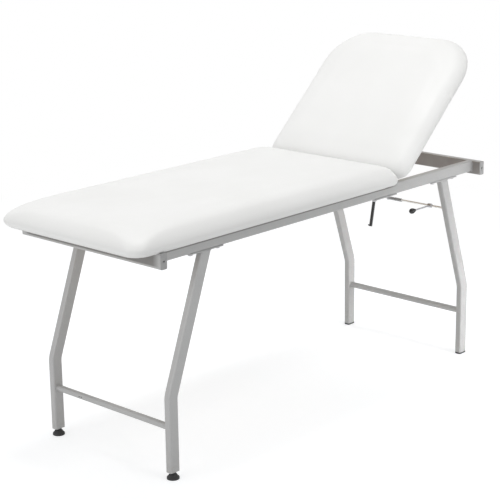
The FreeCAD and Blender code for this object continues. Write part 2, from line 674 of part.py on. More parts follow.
def build_frame_bracket():
    gap = 2 * (COLLAR_RADIUS + CHEEK_CLEARANCE)
    half = BRACKET_WIDTH / 2
    base = block(HINGE_TUBE_X0, HINGE_TUBE_X1, STRUT_Y - half, STRUT_Y + half,
                 RAIL_BOTTOM - BRACKET_BASE_THICKNESS, RAIL_BOTTOM)
    p = STRUT_PIVOT
    reach = (p - Vector(HINGE_TUBE_X1, STRUT_Y, RAIL_BOTTOM)).normalize()
    side_step = Vector(-reach.z, 0, reach.x) * CHEEK_RADIUS
    upper = Vector(p.x, 0, p.z) + side_step
    lower = Vector(p.x, 0, p.z) - side_step
    outline = [
        Vector(HINGE_TUBE_X0, 0, RAIL_BOTTOM - BRACKET_BASE_THICKNESS),
        Vector(HINGE_TUBE_X1, 0, RAIL_BOTTOM - BRACKET_BASE_THICKNESS),
        upper,
        lower,
    ]
    cheeks = cheek_pair(outline, gap) + cheek_discs(p, gap)
    bracket = base.fuse(cheeks).removeSplitter()
    save("strut_frame_bracket", bracket.cut(cross_hole(p, TRUNNION_RADIUS + RUNNING_CLEARANCE)))


def build_backrest_bracket():
    gap = STRUT_EYE_WIDTH + 2 * CHEEK_CLEARANCE
    half_x = BRACKET_BASE_LENGTH / 2
    half_y = BRACKET_WIDTH / 2
    p = STRUT_EYE_FLAT
    low = BACKREST_BOTTOM - BRACKET_BASE_THICKNESS
    base = block(p.x - half_x, p.x + half_x, STRUT_Y - half_y, STRUT_Y + half_y, low, BACKREST_BOTTOM)
    base = base.cut([screw_hole(*place) for place in strut_bracket_screws()])
    outline = [
        Vector(p.x - CHEEK_RADIUS, 0, low),
        Vector(p.x + CHEEK_RADIUS, 0, low),
        Vector(p.x + CHEEK_RADIUS, 0, p.z),
        Vector(p.x - CHEEK_RADIUS, 0, p.z),
    ]
    bracket = base.fuse(cheek_pair(outline, gap) + cheek_discs(p, gap)).removeSplitter()
    bracket = bracket.cut(cross_hole(p, STRUT_PIN_RADIUS + RUNNING_CLEARANCE))
    save("strut_backrest_bracket", raised(bracket))
    pin_length = gap + 2 * CHEEK_THICKNESS
    start = Vector(p.x, STRUT_Y - pin_length / 2, p.z)
    save("strut_pin", raised(rod(start, AXIS_Y, STRUT_PIN_RADIUS, pin_length)))
    screws = [raised(screw(*place)) for place in strut_bracket_screws()]
    save("strut_bracket_screws", Part.makeCompound(screws))


def build_strut():
    build_frame_bracket()
    build_backrest_bracket()
    eye = strut_eye_point()
    along = (eye - STRUT_PIVOT).normalize()
    tail = STRUT_PIVOT - along * STRUT_TAIL
    body_length = STRUT_TAIL + STRUT_HEAD - STRUT_GUIDE_LENGTH
    cylinder = rod(tail, along, STRUT_RADIUS, body_length)
    bore = rod(tail + along * TAIL_CAP_LENGTH, along, STRUT_BORE_RADIUS, body_length)
    plug_hole = rod(tail, along, TAIL_PIN_RADIUS + RUNNING_CLEARANCE, TAIL_CAP_LENGTH)
    save("strut_cylinder", cylinder.cut([bore, plug_hole]))
    guide_start = tail + along * body_length
    guide = rod(guide_start, along, STRUT_GUIDE_RADIUS, STRUT_GUIDE_LENGTH)
    guide_hole = rod(guide_start, along, STRUT_ROD_RADIUS + STRUT_ROD_PLAY, STRUT_GUIDE_LENGTH)
    save("strut_guide", guide.cut(guide_hole))
    collar = rod(STRUT_PIVOT - along * (COLLAR_LENGTH / 2), along, COLLAR_RADIUS, COLLAR_LENGTH)
    stub_length = 2 * (COLLAR_RADIUS + CHEEK_CLEARANCE + CHEEK_THICKNESS)
    stubs = rod(STRUT_PIVOT - AXIS_Y * (stub_length / 2), AXIS_Y, TRUNNION_RADIUS, stub_length)
    body_hole = rod(STRUT_PIVOT - along * COLLAR_LENGTH, along, STRUT_RADIUS + RUNNING_CLEARANCE,
                    2 * COLLAR_LENGTH)
    save("strut_trunnion", collar.fuse(stubs).removeSplitter().cut(body_hole))
    end_plug = rod(tail, along, TAIL_PIN_RADIUS, TAIL_CAP_LENGTH)
    lug_length = TAIL_PIN_RADIUS * TAIL_LUG_SHARE
    end_lug = rod(tail - along * lug_length, along, STRUT_RADIUS, lug_length)
    toe = rod(tail - along * (lug_length / 2), AXIS_Y, TAIL_PIN_RADIUS, TAIL_PIN_LENGTH)
    save("strut_end_stop", end_lug.fuse([end_plug, toe]).removeSplitter())
    eye_start = eye - AXIS_Y * (STRUT_EYE_WIDTH / 2)
    ring = rod(eye_start, AXIS_Y, STRUT_EYE_RADIUS, STRUT_EYE_WIDTH)
    shank = rod(eye - along * STRUT_ROD_LENGTH, along, STRUT_ROD_RADIUS, STRUT_ROD_LENGTH)
    save("strut_rod", shank.cut(ring))
    save("strut_rod_eye", ring.cut(cross_hole(eye, STRUT_PIN_RADIUS + RUNNING_CLEARANCE)))


# Release shaft between the head legs, with its lever
def build_release():
    centre = Vector(leg_axis_x("head", SHAFT_HEIGHT), 0, SHAFT_HEIGHT)
    half = LEG_INNER_Y + TUBE_WALL
    save("release_shaft", rod(centre - AXIS_Y * half, AXIS_Y, SHAFT_RADIUS, 2 * half))
    bushes = []
    for sign in SIDES.values():
        face = Vector(centre.x, sign * LEG_INNER_Y, centre.z)
        outward = AXIS_Y * sign
        flange = rod(face, outward * -1, BUSH_FLANGE_RADIUS, BUSH_FLANGE)
        sleeve = rod(face, outward, BUSH_RADIUS, TUBE_WALL)
        hole = rod(face - outward * BUSH_FLANGE, outward, SHAFT_RADIUS + RUNNING_CLEARANCE,
                   BUSH_FLANGE + TUBE_WALL)
        bushes.append(flange.fuse(sleeve).removeSplitter().cut(hole))
    save("shaft_bushes", Part.makeCompound(bushes))
    build_lever(centre)
    build_spring(centre)


def build_lever(centre):
    hub_start = Vector(centre.x, LEVER_Y - LEVER_HUB_WIDTH / 2, centre.z)
    hub = rod(hub_start, AXIS_Y, LEVER_HUB_RADIUS, LEVER_HUB_WIDTH)
    start = Vector(centre.x, LEVER_Y, centre.z)
    arm = rod(start, AXIS_X * -1, LEVER_RADIUS, LEVER_LENGTH)
    shaft_hole = rod(hub_start, AXIS_Y, SHAFT_RADIUS + RUNNING_CLEARANCE, LEVER_HUB_WIDTH)
    save("release_lever", hub.fuse(arm).removeSplitter().cut(shaft_hole))
    save("lever_knob", lever_knob(start - AXIS_X * LEVER_LENGTH))
    finger_start = Vector(centre.x, -FINGER_THICKNESS / 2, centre.z)
    finger_hub = rod(finger_start, AXIS_Y, LEVER_HUB_RADIUS, FINGER_THICKNESS)
    finger_arm = block(centre.x - SHAFT_RADIUS, centre.x + SHAFT_RADIUS, -FINGER_THICKNESS / 2,
                       FINGER_THICKNESS / 2, centre.z, centre.z + FINGER_LENGTH)
    finger = finger_hub.fuse(finger_arm).removeSplitter()
    finger_hole = rod(finger_start, AXIS_Y, SHAFT_RADIUS + RUNNING_CLEARANCE, FINGER_THICKNESS)
    save("release_finger", finger.cut(finger_hole))


def build_spring(centre):
    """Return spring wound round the shaft, from the finger towards the lever."""
    coil_radius = SHAFT_RADIUS + SPRING_SHAFT_GAP + SPRING_WIRE_RADIUS
    first_y = -FINGER_THICKNESS / 2 - SEAT_GAP - SPRING_WIRE_RADIUS
    end_run = 2 * SPRING_WIRE_RADIUS

    def at(turn):
        angle = 2 * math.pi * turn
        return centre + Vector(coil_radius * math.cos(angle), first_y - SPRING_PITCH * turn,
                               coil_radius * math.sin(angle))

    steps = 4 * SPRING_TURNS
    arcs = []
    for step in range(steps):
        arcs.append(Part.Arc(at(step / 4), at((step + 0.5) / 4), at((step + 1) / 4)).toShape())
    start_along = arcs[0].tangentAt(arcs[0].FirstParameter)
    end_along = arcs[-1].tangentAt(arcs[-1].LastParameter)
    start = at(0) - start_along * end_run
    path = Part.Wire([Part.makeLine(start, at(0))] + arcs
                     + [Part.makeLine(at(SPRING_TURNS), at(SPRING_TURNS) + end_along * end_run)])
    section = Part.Wire([Part.makeCircle(SPRING_WIRE_RADIUS, start, start_along)])
    save("release_spring", path.makePipeShell([section], True, True))
    points = [at(step / 12) for step in range(12 * SPRING_TURNS + 1)]
    nearest = min((far - near).Length for near, far in zip(points, points[12:]))
    print("least gap in the return spring: %.2f mm" % (nearest - 2 * SPRING_WIRE_RADIUS))


def lever_knob(tip):
    """Egg shaped knob, thicker at its free end, turned about the lever's tip."""
    neck = LEVER_RADIUS + CAP_THICKNESS / 2
    profile = [Vector(0, 0, neck)]
    for along_share, radius_share in KNOB_PROFILE:
        profile.append(Vector(-KNOB_LENGTH * along_share, 0, KNOB_RADIUS * radius_share))
    curve = Part.BSplineCurve()
    curve.interpolate(profile)
    middle = Vector(0, 0, 0)
    outline = Part.Wire([
        Part.makeLine(middle, profile[0]),
        curve.toShape(),
        Part.makeLine(profile[-1], middle),
    ])
    knob = Part.Face(outline).revolve(middle, AXIS_X, 360)
    knob.translate(tip)
    return knob


def main():
    os.makedirs("parts", exist_ok=True)
    build_frame()
    build_legs()
    build_rail_plates()
    build_seat()
    build_backrest()
    build_hinges()
    build_strut()
    build_release()


main()
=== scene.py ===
import json
import math
import bpy
import numpy as np
from mathutils import Matrix, Vector
from mathutils.bvhtree import BVHTree


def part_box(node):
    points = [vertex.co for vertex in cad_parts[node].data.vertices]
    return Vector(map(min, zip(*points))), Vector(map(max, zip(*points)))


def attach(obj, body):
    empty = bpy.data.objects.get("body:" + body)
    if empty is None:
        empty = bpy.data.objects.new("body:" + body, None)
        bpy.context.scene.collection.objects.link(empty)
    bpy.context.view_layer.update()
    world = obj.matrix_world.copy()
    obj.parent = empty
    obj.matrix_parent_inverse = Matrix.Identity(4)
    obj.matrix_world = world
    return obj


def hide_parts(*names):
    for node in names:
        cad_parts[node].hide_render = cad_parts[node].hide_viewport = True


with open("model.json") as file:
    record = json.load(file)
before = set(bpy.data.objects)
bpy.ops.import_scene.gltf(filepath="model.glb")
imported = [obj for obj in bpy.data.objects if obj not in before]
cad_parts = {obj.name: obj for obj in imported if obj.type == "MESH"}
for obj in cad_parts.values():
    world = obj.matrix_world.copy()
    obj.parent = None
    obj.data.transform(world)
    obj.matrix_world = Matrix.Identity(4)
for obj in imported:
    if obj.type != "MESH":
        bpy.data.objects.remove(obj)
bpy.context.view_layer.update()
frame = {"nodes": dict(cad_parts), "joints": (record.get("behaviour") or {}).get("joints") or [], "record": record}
cad = frame["nodes"]
scene = bpy.context.scene
scene.view_settings.view_transform = "Standard"
print("frame loaded,", len(cad), "nodes")


# shader values: sums and products of these add Math nodes
class Tone:
    def __init__(self, finish, socket):
        self.finish = finish
        self.socket = socket

    def math(self, operation, first, second):
        return self.finish.node("ShaderNodeMath", {"operation": operation}, {0: first, 1: second})

    def __add__(self, other):
        return self.math("ADD", self, other)

    def __sub__(self, other):
        return self.math("SUBTRACT", self, other)

    def __rsub__(self, other):
        return self.math("SUBTRACT", other, self)

    def __mul__(self, other):
        return self.math("MULTIPLY", self, other)

    __radd__ = __add__
    __rmul__ = __mul__


class Finish:
    def __init__(self, name, tree=None):
        if tree is None:
            self.material = bpy.data.materials.new(name)
            self.material.use_nodes = True
            tree = self.material.node_tree
        self.tree = tree
        self.spot = None

    def node(self, kind, settings=None, sockets=None, out=0):
        made = self.tree.nodes.new(kind)
        for key, value in (settings or {}).items():
            setattr(made, key, value)
        for key, value in (sockets or {}).items():
            if isinstance(value, Tone):
                self.tree.links.new(value.socket, made.inputs[key])
            else:
                made.inputs[key].default_value = value
        return Tone(self, made.outputs[out])

    def place(self, stretch=None):
        if self.spot is None:
            self.spot = self.node("ShaderNodeTexCoord", out="Object")
        if stretch is None:
            return self.spot
        return self.node("ShaderNodeVectorMath", {"operation": "MULTIPLY"}, {0: self.spot, 1: stretch})

    def axis(self, letter):
        return self.node("ShaderNodeSeparateXYZ", {}, {0: self.place()}, out=letter)

    # grain is the size of one feature in metres
    def noise(self, grain, detail=3.0, stretch=None):
        sockets = {"Vector": self.place(stretch), "Scale": 1 / grain, "Detail": detail, "Roughness": 0.55}
        return self.node("ShaderNodeTexNoise", {}, sockets)

    def cells(self, grain):
        sockets = {"Vector": self.place(), "Scale": 1 / grain}
        return self.node("ShaderNodeTexVoronoi", {"feature": "DISTANCE_TO_EDGE"}, sockets, "Distance")

    def between(self, value, low, high):
        return self.node("ShaderNodeMapRange", {}, {"Value": value, "From Min": low, "From Max": high})

    def tint(self, factor, first, second):
        first, second = [c if isinstance(c, Tone) else (*c, 1) for c in (first, second)]
        return self.node("ShaderNodeMix", {"data_type": "RGBA"}, {0: factor, 6: first, 7: second}, 2)

    def close(self, colour, rough, metal=0.0, height=None, depth=0.0002, strength=0.5, fixed=None):
        shader = self.tree.nodes["Principled BSDF"]
        sockets = {"Base Color": colour, "Roughness": rough, "Metallic": metal, **(fixed or {})}
        if height is not None:
            bump = {"Strength": strength, "Distance": depth, "Height": height}
            sockets["Normal"] = self.node("ShaderNodeBump", {}, bump)
        for key, value in sockets.items():
            if isinstance(value, Tone):
                self.tree.links.new(value.socket, shader.inputs[key])
            else:
                shader.inputs[key].default_value = value
        return self.material


# white upholstery: a soft leather-like grain with pores, a little uneven in gloss
vinylLook = {"pale": (0.86, 0.86, 0.85), "shade": (0.84, 0.84, 0.828), "grain": 0.0017, "pore": 0.0006}


def whiteVinyl():
    f = Finish("whiteVinyl")
    grain = f.between(f.cells(vinylLook["grain"]), 0.0, 0.13)
    pores = f.noise(vinylLook["pore"], 2.0)
    handled = f.between(f.noise(0.22, 2.0), 0.35, 0.7)
    colour = f.tint(handled, vinylLook["pale"], vinylLook["shade"])
    colour = f.tint((1 - grain) * 0.12, colour, (0.66, 0.66, 0.65))
    rough = 0.40 + 0.09 * handled + 0.08 * pores
    return f.close(colour, rough, 0.0, grain * 0.7 + pores * 0.3, 0.00014, 0.35,
                   {"Specular IOR Level": 0.42})


# silver-grey powder coat: metallic speck, orange peel, dust low on the legs, painted shade under the seat's edge
coatLook = {
    "light": (0.53, 0.53, 0.525), "dark": (0.42, 0.42, 0.42), "dust": (0.40, 0.39, 0.37),
    "metal": 0.15, "paintedShade": (0.10, 0.095, 0.09), "paintedShadeEnd": (0.41, 0.36), "paintedShadeSide": (0.098, 0.083),
    "railPaintedShade": (0.7398, 0.7432), "tubePaintedShade": (0.7105, 0.7143),
    "paintedInnerShade": (0.25, 0.22, 0.205), "paintedInnerShadeReach": (0.8672, 0.8663), "dustReach": (0.11, 0.0),
}


def silverCoat(name="silverCoat", lumps=0.0, paintedShade=None, paintedInnerShade=None):
    f = Finish(name)
    speck = f.between(f.noise(0.0008, 2.0), 0.38, 0.62)
    cloud = f.noise(0.05, 2.0)
    peel = f.noise(0.0028, 2.0)
    colour = f.tint(speck * 0.6 + cloud * 0.4, coatLook["dark"], coatLook["light"])
    low = f.between(f.axis("Z"), *coatLook["dustReach"]) * f.between(f.noise(0.012, 3.0), 0.42, 0.68)
    colour = f.tint(low * 0.55, colour, coatLook["dust"])
    # painted shade: a dark band along the top of the rails and foot tube, just under the cushion's edge, where the
    # cushion shades them
    if paintedShade:
        across = f.axis("Y")
        edge = f.between(f.axis("Z"), *paintedShade) * f.between(f.axis("X"), *coatLook["paintedShadeEnd"])
        edge = edge * f.between(across * across, *coatLook["paintedShadeSide"])
        colour = f.tint(edge * (0.55 + 0.3 * cloud), colour, coatLook["paintedShade"])
    # painted shade: the head cross tube's inner face made darker, with a warm tint
    if paintedInnerShade:
        colour = f.tint(f.between(f.axis("X"), *paintedInnerShade) * (0.5 + 0.4 * cloud), colour, coatLook["paintedInnerShade"])
    rough = 0.34 + 0.10 * cloud + 0.06 * speck + 0.2 * low
    height = peel * 0.8 + speck * 0.2
    if lumps:
        height = height * 0.5 + f.noise(lumps, 2.0)
    return f.close(colour, rough, coatLook["metal"], height, 0.00012, 0.30)


def zincPlate(name, light=(0.64, 0.64, 0.66), dark=(0.47, 0.47, 0.49)):
    f = Finish(name)
    patch = f.between(f.noise(0.006, 3.0), 0.35, 0.68)
    scratch = f.noise(0.0012, 2.0, (0.12, 1.0, 1.0))
    colour = f.tint(patch, light, dark)
    return f.close(colour, 0.26 + 0.14 * patch + 0.10 * scratch, 1.0, scratch, 0.00006, 0.35)


def hardChrome():
    f = Finish("hardChrome")
    ring = f.noise(0.0009, 2.0)
    smear = f.between(f.noise(0.02, 2.0), 0.4, 0.7)
    colour = f.tint(smear, (0.74, 0.74, 0.75), (0.64, 0.64, 0.66))
    return f.close(colour, 0.08 + 0.10 * smear + 0.04 * ring, 1.0, ring, 0.00003, 0.2)


def blackEnamel():
    f = Finish("blackEnamel")
    peel = f.noise(0.002, 2.0)
    rub = f.between(f.noise(0.014, 4.0), 0.58, 0.72)
    colour = f.tint(rub * 0.35, (0.022, 0.022, 0.024), (0.085, 0.085, 0.09))
    return f.close(colour, 0.34 + 0.18 * rub, 0.0, peel, 0.00008, 0.4)


# moulded plastic with a fine spark-eroded texture
def moulded(name, colour, paler, rough):
    f = Finish(name)
    spark = f.noise(0.0007, 3.0)
    worn = f.between(f.noise(0.011, 3.0), 0.5, 0.72)
    shade = f.tint(worn * 0.5, colour, paler)
    return f.close(shade, rough + 0.12 * spark - 0.06 * worn, 0.0, spark, 0.00009, 0.45)


def softRubber():
    f = Finish("softRubber")
    bloom = f.between(f.noise(0.009, 4.0), 0.45, 0.75)
    fine = f.noise(0.0006, 2.0)
    return f.close(f.tint(bloom, (0.024, 0.024, 0.025), (0.06, 0.06, 0.06)), 0.72 + 0.1 * fine, 0.0,
                   fine, 0.00008, 0.4)


# plain birch sheet, grain along the couch
def birchSheet():
    f = Finish("birchSheet")
    streak = f.noise(0.006, 4.0, (0.035, 1.0, 1.0))
    pore = f.between(f.noise(0.0011, 2.0, (0.03, 1.0, 1.0)), 0.45, 0.7)
    flame = f.between(f.noise(0.09, 3.0, (0.25, 1.0, 1.0)), 0.35, 0.68)
    colour = f.tint(f.between(streak, 0.35, 0.68), (0.60, 0.46, 0.30), (0.47, 0.33, 0.19))
    colour = f.tint(flame * 0.35, colour, (0.68, 0.54, 0.37))
    colour = f.tint(pore * 0.25, colour, (0.30, 0.20, 0.11))
    return f.close(colour, 0.52 + 0.14 * streak, 0.0, streak * 0.6 + pore * 0.4, 0.00018, 0.4)


looks = {
    "vinyl": whiteVinyl(),
    "coat": silverCoat(),
    # railCoat and tubeCoat carry a painted shade line under the cushion's edge
    "railCoat": silverCoat("railCoat", 0.0, coatLook["railPaintedShade"]),
    "tubeCoat": silverCoat("tubeCoat", 0.0, coatLook["tubePaintedShade"]),
    # headCoat carries a painted shade on the head tube's inner face
    "headCoat": silverCoat("headCoat", 0.0, None, coatLook["paintedInnerShadeReach"]),
    "weld": silverCoat("weldCoat", 0.0016),
    "zinc": zincPlate("zincPlate"),
    "springSteel": zincPlate("springSteel", (0.46, 0.46, 0.47), (0.20, 0.20, 0.21)),
    "brightZinc": zincPlate("brightZinc", (0.84, 0.83, 0.81), (0.74, 0.72, 0.69)),
    "chrome": hardChrome(),
    "enamel": blackEnamel(),
    "blackPlastic": moulded("blackPlastic", (0.020, 0.020, 0.021), (0.042, 0.042, 0.043), 0.46),
    "greyPlastic": moulded("greyPlastic", (0.36, 0.36, 0.36), (0.43, 0.43, 0.42), 0.42),
    "rubber": softRubber(),
    "birch": birchSheet(),
}
slotLooks = {
    "upholstery": "vinyl",
    "board": "birch",
    "frame_paint": "coat",
    "zinc_steel": "zinc",
    "black_paint": "enamel",
    "chrome": "chrome",
    "grey_plastic": "greyPlastic",
    "black_plastic": "blackPlastic",
    "rubber": "rubber",
}
for part in frame["record"]["subparts"]:
    mesh = cad[part["node"]].data
    mesh.materials.clear()
    mesh.materials.append(looks[slotLooks[part["material_slot"]]])
ownLooks = {
    "release_spring": "springSteel",
    "release_shaft": "brightZinc",
    "side_rail_left": "railCoat",
    "side_rail_right": "railCoat",
    "foot_cross_tube": "tubeCoat",
    "head_cross_tube": "headCoat",
}
for name, look in ownLooks.items():
    cad[name].data.materials[0] = looks[look]
print("finishes made:", len(looks))


# mesh helpers: all pieces are in metres in the couch's own frame
def addPiece(name, points, faces, look, body, smooth=True):
    mesh = bpy.data.meshes.new(name)
    mesh.from_pydata([tuple(p) for p in points], [], faces)
    mesh.validate()
    mesh.polygons.foreach_set("use_smooth", [smooth] * len(mesh.polygons))
    mesh.materials.append(looks[look])
    mesh.update()
    piece = bpy.data.objects.new(name, mesh)
    scene.collection.objects.link(piece)
    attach(piece, body)
    return piece


class Lump:
    # gathers points and faces of many small forms into one piece
    def __init__(self):
        self.points = []
        self.faces = []

    def add(self, points, faces):
        start = len(self.points)
        self.points += [Vector(p) for p in points]
        self.faces += [[start + i for i in face] for face in faces]

    def piece(self, name, look, body, slotName, smooth=True):
        return addPiece(name, self.points, self.faces, look, body, smooth)


def ringFaces(rings, sides, closed):
    faces = []
    for r in range(rings if closed else rings - 1):
        for k in range(sides):
            a = r * sides + k
            b = r * sides + (k + 1) % sides
            up = ((r + 1) % rings) * sides
            faces.append([a, b, up + (k + 1) % sides, up + k])
    if not closed:
        faces.append(list(range(sides))[::-1])
        faces.append([(rings - 1) * sides + k for k in range(sides)])
    return faces


# a round bar along a line of points, its thickness given at each point
def barAlong(line, radii, closed, sides=10):
    points = []
    count = len(line)
    normal = None
    for i, spot in enumerate(line):
        before = line[(i - 1) % count] if closed or i else spot
        after = line[(i + 1) % count] if closed or i < count - 1 else spot
        along = (after - before).normalized()
        if normal is None:
            normal = along.orthogonal().normalized()
        normal = (normal - along * normal.dot(along)).normalized()
        side = along.cross(normal)
        for k in range(sides):
            angle = 2 * math.pi * k / sides
            points.append(spot + (normal * math.cos(angle) + side * math.sin(angle)) * radii[i])
    return points, ringFaces(count, sides, closed)


# a turned form: (radius, height) pairs round an upright axis
def turned(centre, profile, sides=40):
    points = []
    for radius, height in profile:
        for k in range(sides):
            angle = 2 * math.pi * k / sides
            points.append(centre + Vector((radius * math.cos(angle), radius * math.sin(angle), height)))
    return points, ringFaces(len(profile), sides, False)


def spread(corners, step, closed):
    line = []
    pairs = list(zip(corners, corners[1:] + corners[:1] if closed else corners[1:]))
    for a, b in pairs:
        count = max(2, round((b - a).length / step))
        line += [a.lerp(b, i / count) for i in range(count)]
    if not closed:
        line.append(corners[-1])
    return line


def middle(node):
    low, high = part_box(node)
    return (low + high) / 2


# weld beads where the tubes meet
weld = {
    "radius": 0.0019, "ripple": 0.22, "pitch": 0.0032, "step": 0.0011,
    "topGap": 0.004, "legCorner": 0.006,
}


def bead(lump, corners, closed):
    line = spread(corners, weld["step"], closed)
    radii = []
    run = 0.0
    for i, spot in enumerate(line):
        run += (spot - line[i - 1]).length if i else 0.0
        wave = abs(math.sin(math.pi * run / weld["pitch"]))
        fade = 1.0 if closed else min(1.0, 0.35 + min(i, len(line) - 1 - i) / 6)
        radii.append(weld["radius"] * fade * (1 - weld["ripple"] + weld["ripple"] * wave))
    lump.add(*barAlong(line, radii, closed, 8))


def circleLine(centre, across, up, radius, count=48):
    turns = [2 * math.pi * k / count for k in range(count)]
    return [centre + across * (radius * math.cos(t)) + up * (radius * math.sin(t)) for t in turns]


def addWelds():
    welds = Lump()
    axisX, axisZ = Vector((1, 0, 0)), Vector((0, 0, 1))
    for bar in ("foot_stretcher", "head_stretcher"):
        low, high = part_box(bar)
        centre = (low + high) / 2
        radius = (high.z - low.z) / 2
        for y in (low.y, high.y):
            bead(welds, circleLine(Vector((centre.x, y, centre.z)), axisX, axisZ, radius), True)
    for side in ("left", "right"):
        railLow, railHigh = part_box("side_rail_" + side)
        for x in (railLow.x, railHigh.x):
            bead(welds, uShape(Vector((x, 0, 0)), "y", railLow.y, railHigh.y, railHigh.z, railLow.z), False)
    for tube in ("hinge_cross_tube", "seat_cross_tube"):
        low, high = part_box(tube)
        for y in (low.y, high.y):
            bead(welds, uShape(Vector((0, y, 0)), "x", low.x, high.x, high.z, low.z), False)
    for end in ("foot", "head"):
        for side in ("left", "right"):
            bead(welds, legRing("%s_leg_%s" % (end, side)), True)
    welds.piece("weldBeads", "weld", "frame", "frame_paint")


# down one side of a tube, under it and up the other, clear of its top face
def uShape(origin, letter, start, stop, top, bottom):
    top -= weld["topGap"]
    flat = [(start, top), (start, bottom), (stop, bottom), (stop, top)]
    across = Vector((1, 0, 0)) if letter == "x" else Vector((0, 1, 0))
    return [origin + across * a + Vector((0, 0, z)) for a, z in flat]


# the outline of a leg where it meets its plate
def legRing(leg):
    corner = weld["legCorner"]
    top = max(v.co.z for v in cad[leg].data.vertices)
    rim = [v.co for v in cad[leg].data.vertices if v.co.z > top - 0.0005]
    x0, x1 = min(p.x for p in rim), max(p.x for p in rim)
    y0, y1 = min(p.y for p in rim), max(p.y for p in rim)
    line = []
    for cx, cy, turn in ((x1, y1, 0), (x0, y1, 1), (x0, y0, 2), (x1, y0, 3)):
        inX = corner if cx == x0 else -corner
        inY = corner if cy == y0 else -corner
        for step in range(5):
            angle = math.radians(90 * turn + 22.5 * step)
            x, y = cx + inX + corner * math.cos(angle), cy + inY + corner * math.sin(angle)
            line.append(Vector((x, y, top)))
    return line


addWelds()
print("welds laid")


# flanged washers under the frame bolts
washer = {
    "radius": 0.0086, "bore": 0.004, "bevel": 0.0006, "thickness": 0.0014,
    "pitch": 0.060, "plateHoles": (0.015, 0.099),
}


def addWashers():
    rings = Lump()
    r, t, bore = washer["radius"], washer["thickness"], washer["bore"]
    profile = [(bore, 0.0), (r, 0.0), (r, -t * 0.6), (r - washer["bevel"], -t), (bore, -t)]
    for side in ("left", "right"):
        spots = []
        for end in ("foot", "head"):
            plate = middle("%s_leg_plate_%s" % (end, side))
            spots += [(plate.x + sign * washer["pitch"], plate.y) for sign in (-1, 1)]
        low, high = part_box("rail_plate_" + side)
        spots += [(low.x + hole, middle("side_rail_" + side).y) for hole in washer["plateHoles"]]
        for x, y in spots:
            rings.add(*turned(Vector((x, y, low.z)), profile, 32))
    rings.piece("boltWashers", "zinc", "frame", "zinc_steel", False)


addWashers()


# two blind rivets on the foot stretcher
rivet = {"reach": (0.138, 0.148), "radius": 0.0021, "height": 0.0008}


def addRivets():
    lump = Lump()
    low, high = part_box("foot_stretcher")
    centre = (low + high) / 2
    face = low.x
    r, h = rivet["radius"], rivet["height"]
    profile = [(r, 0.0), (r * 0.92, h * 0.6), (r * 0.6, h), (r * 0.42, h * 0.9), (r * 0.38, h * 0.2)]
    toSide = Matrix.Rotation(math.radians(-90), 3, "Y")
    for y in rivet["reach"]:
        points, faces = turned(Vector((0, 0, 0)), profile, 20)
        lump.add([toSide @ p + Vector((face, y, centre.z)) for p in points], faces)
    lump.piece("stretcherRivets", "enamel", "frame", "zinc_steel")


addRivets()


# grip ribs on the shoulder of each levelling foot
gripRibs = {"count": 20, "inner": 0.0097, "outer": 0.0168, "low": 0.0078, "high": 0.0180, "radius": 0.0008}


def addGripRibs(side):
    lump = Lump()
    centre = middle("levelling_foot_" + side)
    for k in range(gripRibs["count"]):
        angle = 2 * math.pi * k / gripRibs["count"]
        out = Vector((math.cos(angle), math.sin(angle), 0))
        foot = Vector((centre.x, centre.y, gripRibs["low"])) + out * gripRibs["outer"]
        top = Vector((centre.x, centre.y, gripRibs["high"])) + out * gripRibs["inner"]
        line = [foot.lerp(top, t) for t in (0.0, 0.15, 0.5, 0.85, 1.0)]
        radii = [gripRibs["radius"] * share for share in (0.5, 0.9, 1.0, 0.9, 0.5)]
        lump.add(*barAlong(line, radii, False, 8))
    lump.piece("gripRibs-" + side, "blackPlastic", "levelling_foot_" + side, "black_plastic")


for side in ("left", "right"):
    addGripRibs(side)
print("small metalwork and feet done")


# cushions: a rolled, crowned form, remeshed and swollen as cloth
# each row: inset at the sides, inset at the rolled end, share of the height
rollProfile = (
    (0.0110, 0.0040, 0.00),
    (0.0040, 0.0008, 0.10),
    (0.0000, 0.0000, 0.24),
    (0.0030, 0.0040, 0.39),
    (0.0090, 0.0100, 0.54),
    (0.0200, 0.0220, 0.72),
    (0.0340, 0.0410, 0.87),
    (0.0520, 0.0700, 0.96),
    (0.0950, 0.1250, 1.00),
    (0.1500, 0.1900, 1.015),
    (0.2300, 0.2700, 1.03),
)
seatPad = {
    "node": "seat_cushion", "body": "frame", "corners": (0.050, 0.030), "rolledEnd": 1,
    "height": 0.076, "voxel": 0.006, "swell": 0.004, "fill": 0.75, "gather": 0.0007,
    "cornerRise": {"low": 0.050, "high": 0.215, "power": 4.4, "widest": 0.95}, "hemCorner": 0.050,
}
backPad = {
    "node": "backrest_cushion", "body": "backrest", "corners": (0.045, 0.170), "rolledEnd": 0,
    "height": 0.058, "voxel": 0.006, "swell": 0.004, "fill": 0.75, "gather": 0.0007,
    "start": 0.005, "length": 0.628, "lift": 0.007, "hemCorner": 0.157,
}
cover = {
    "quality": 4, "mass": 0.3, "tension_stiffness": 18, "compression_stiffness": 18, "shear_stiffness": 6,
    "bending_stiffness": 1.5, "use_pressure": True, "uniform_pressure_force": 4,
}
swelling = {"frames": 20, "heldShare": 0.25, "sideRoom": 0.0008}
easing = {"factor": 0.5, "rounds": 6, "topRounds": 60, "topFrom": 0.8, "topFade": 0.16}
gathers = {"coarse": 0.0052, "fine": 0.0031, "heightShare": 0.55, "leastCorner": 0.03}
sunken = {"inset": 0.019, "slope": 0.004, "depth": 0.005}
tilt = {"angle": math.radians(42.7), "hinge": Vector(frame["joints"][0]["pos_m"])}


def raised(points):
    c, s = math.cos(tilt["angle"]), math.sin(tilt["angle"])
    hinge = tilt["hinge"]
    made = []
    for p in points:
        dx, dz = p[0] - hinge.x, p[2] - hinge.z
        made.append(Vector((hinge.x + dx * c - dz * s, p[1], hinge.z + dx * s + dz * c)))
    return made


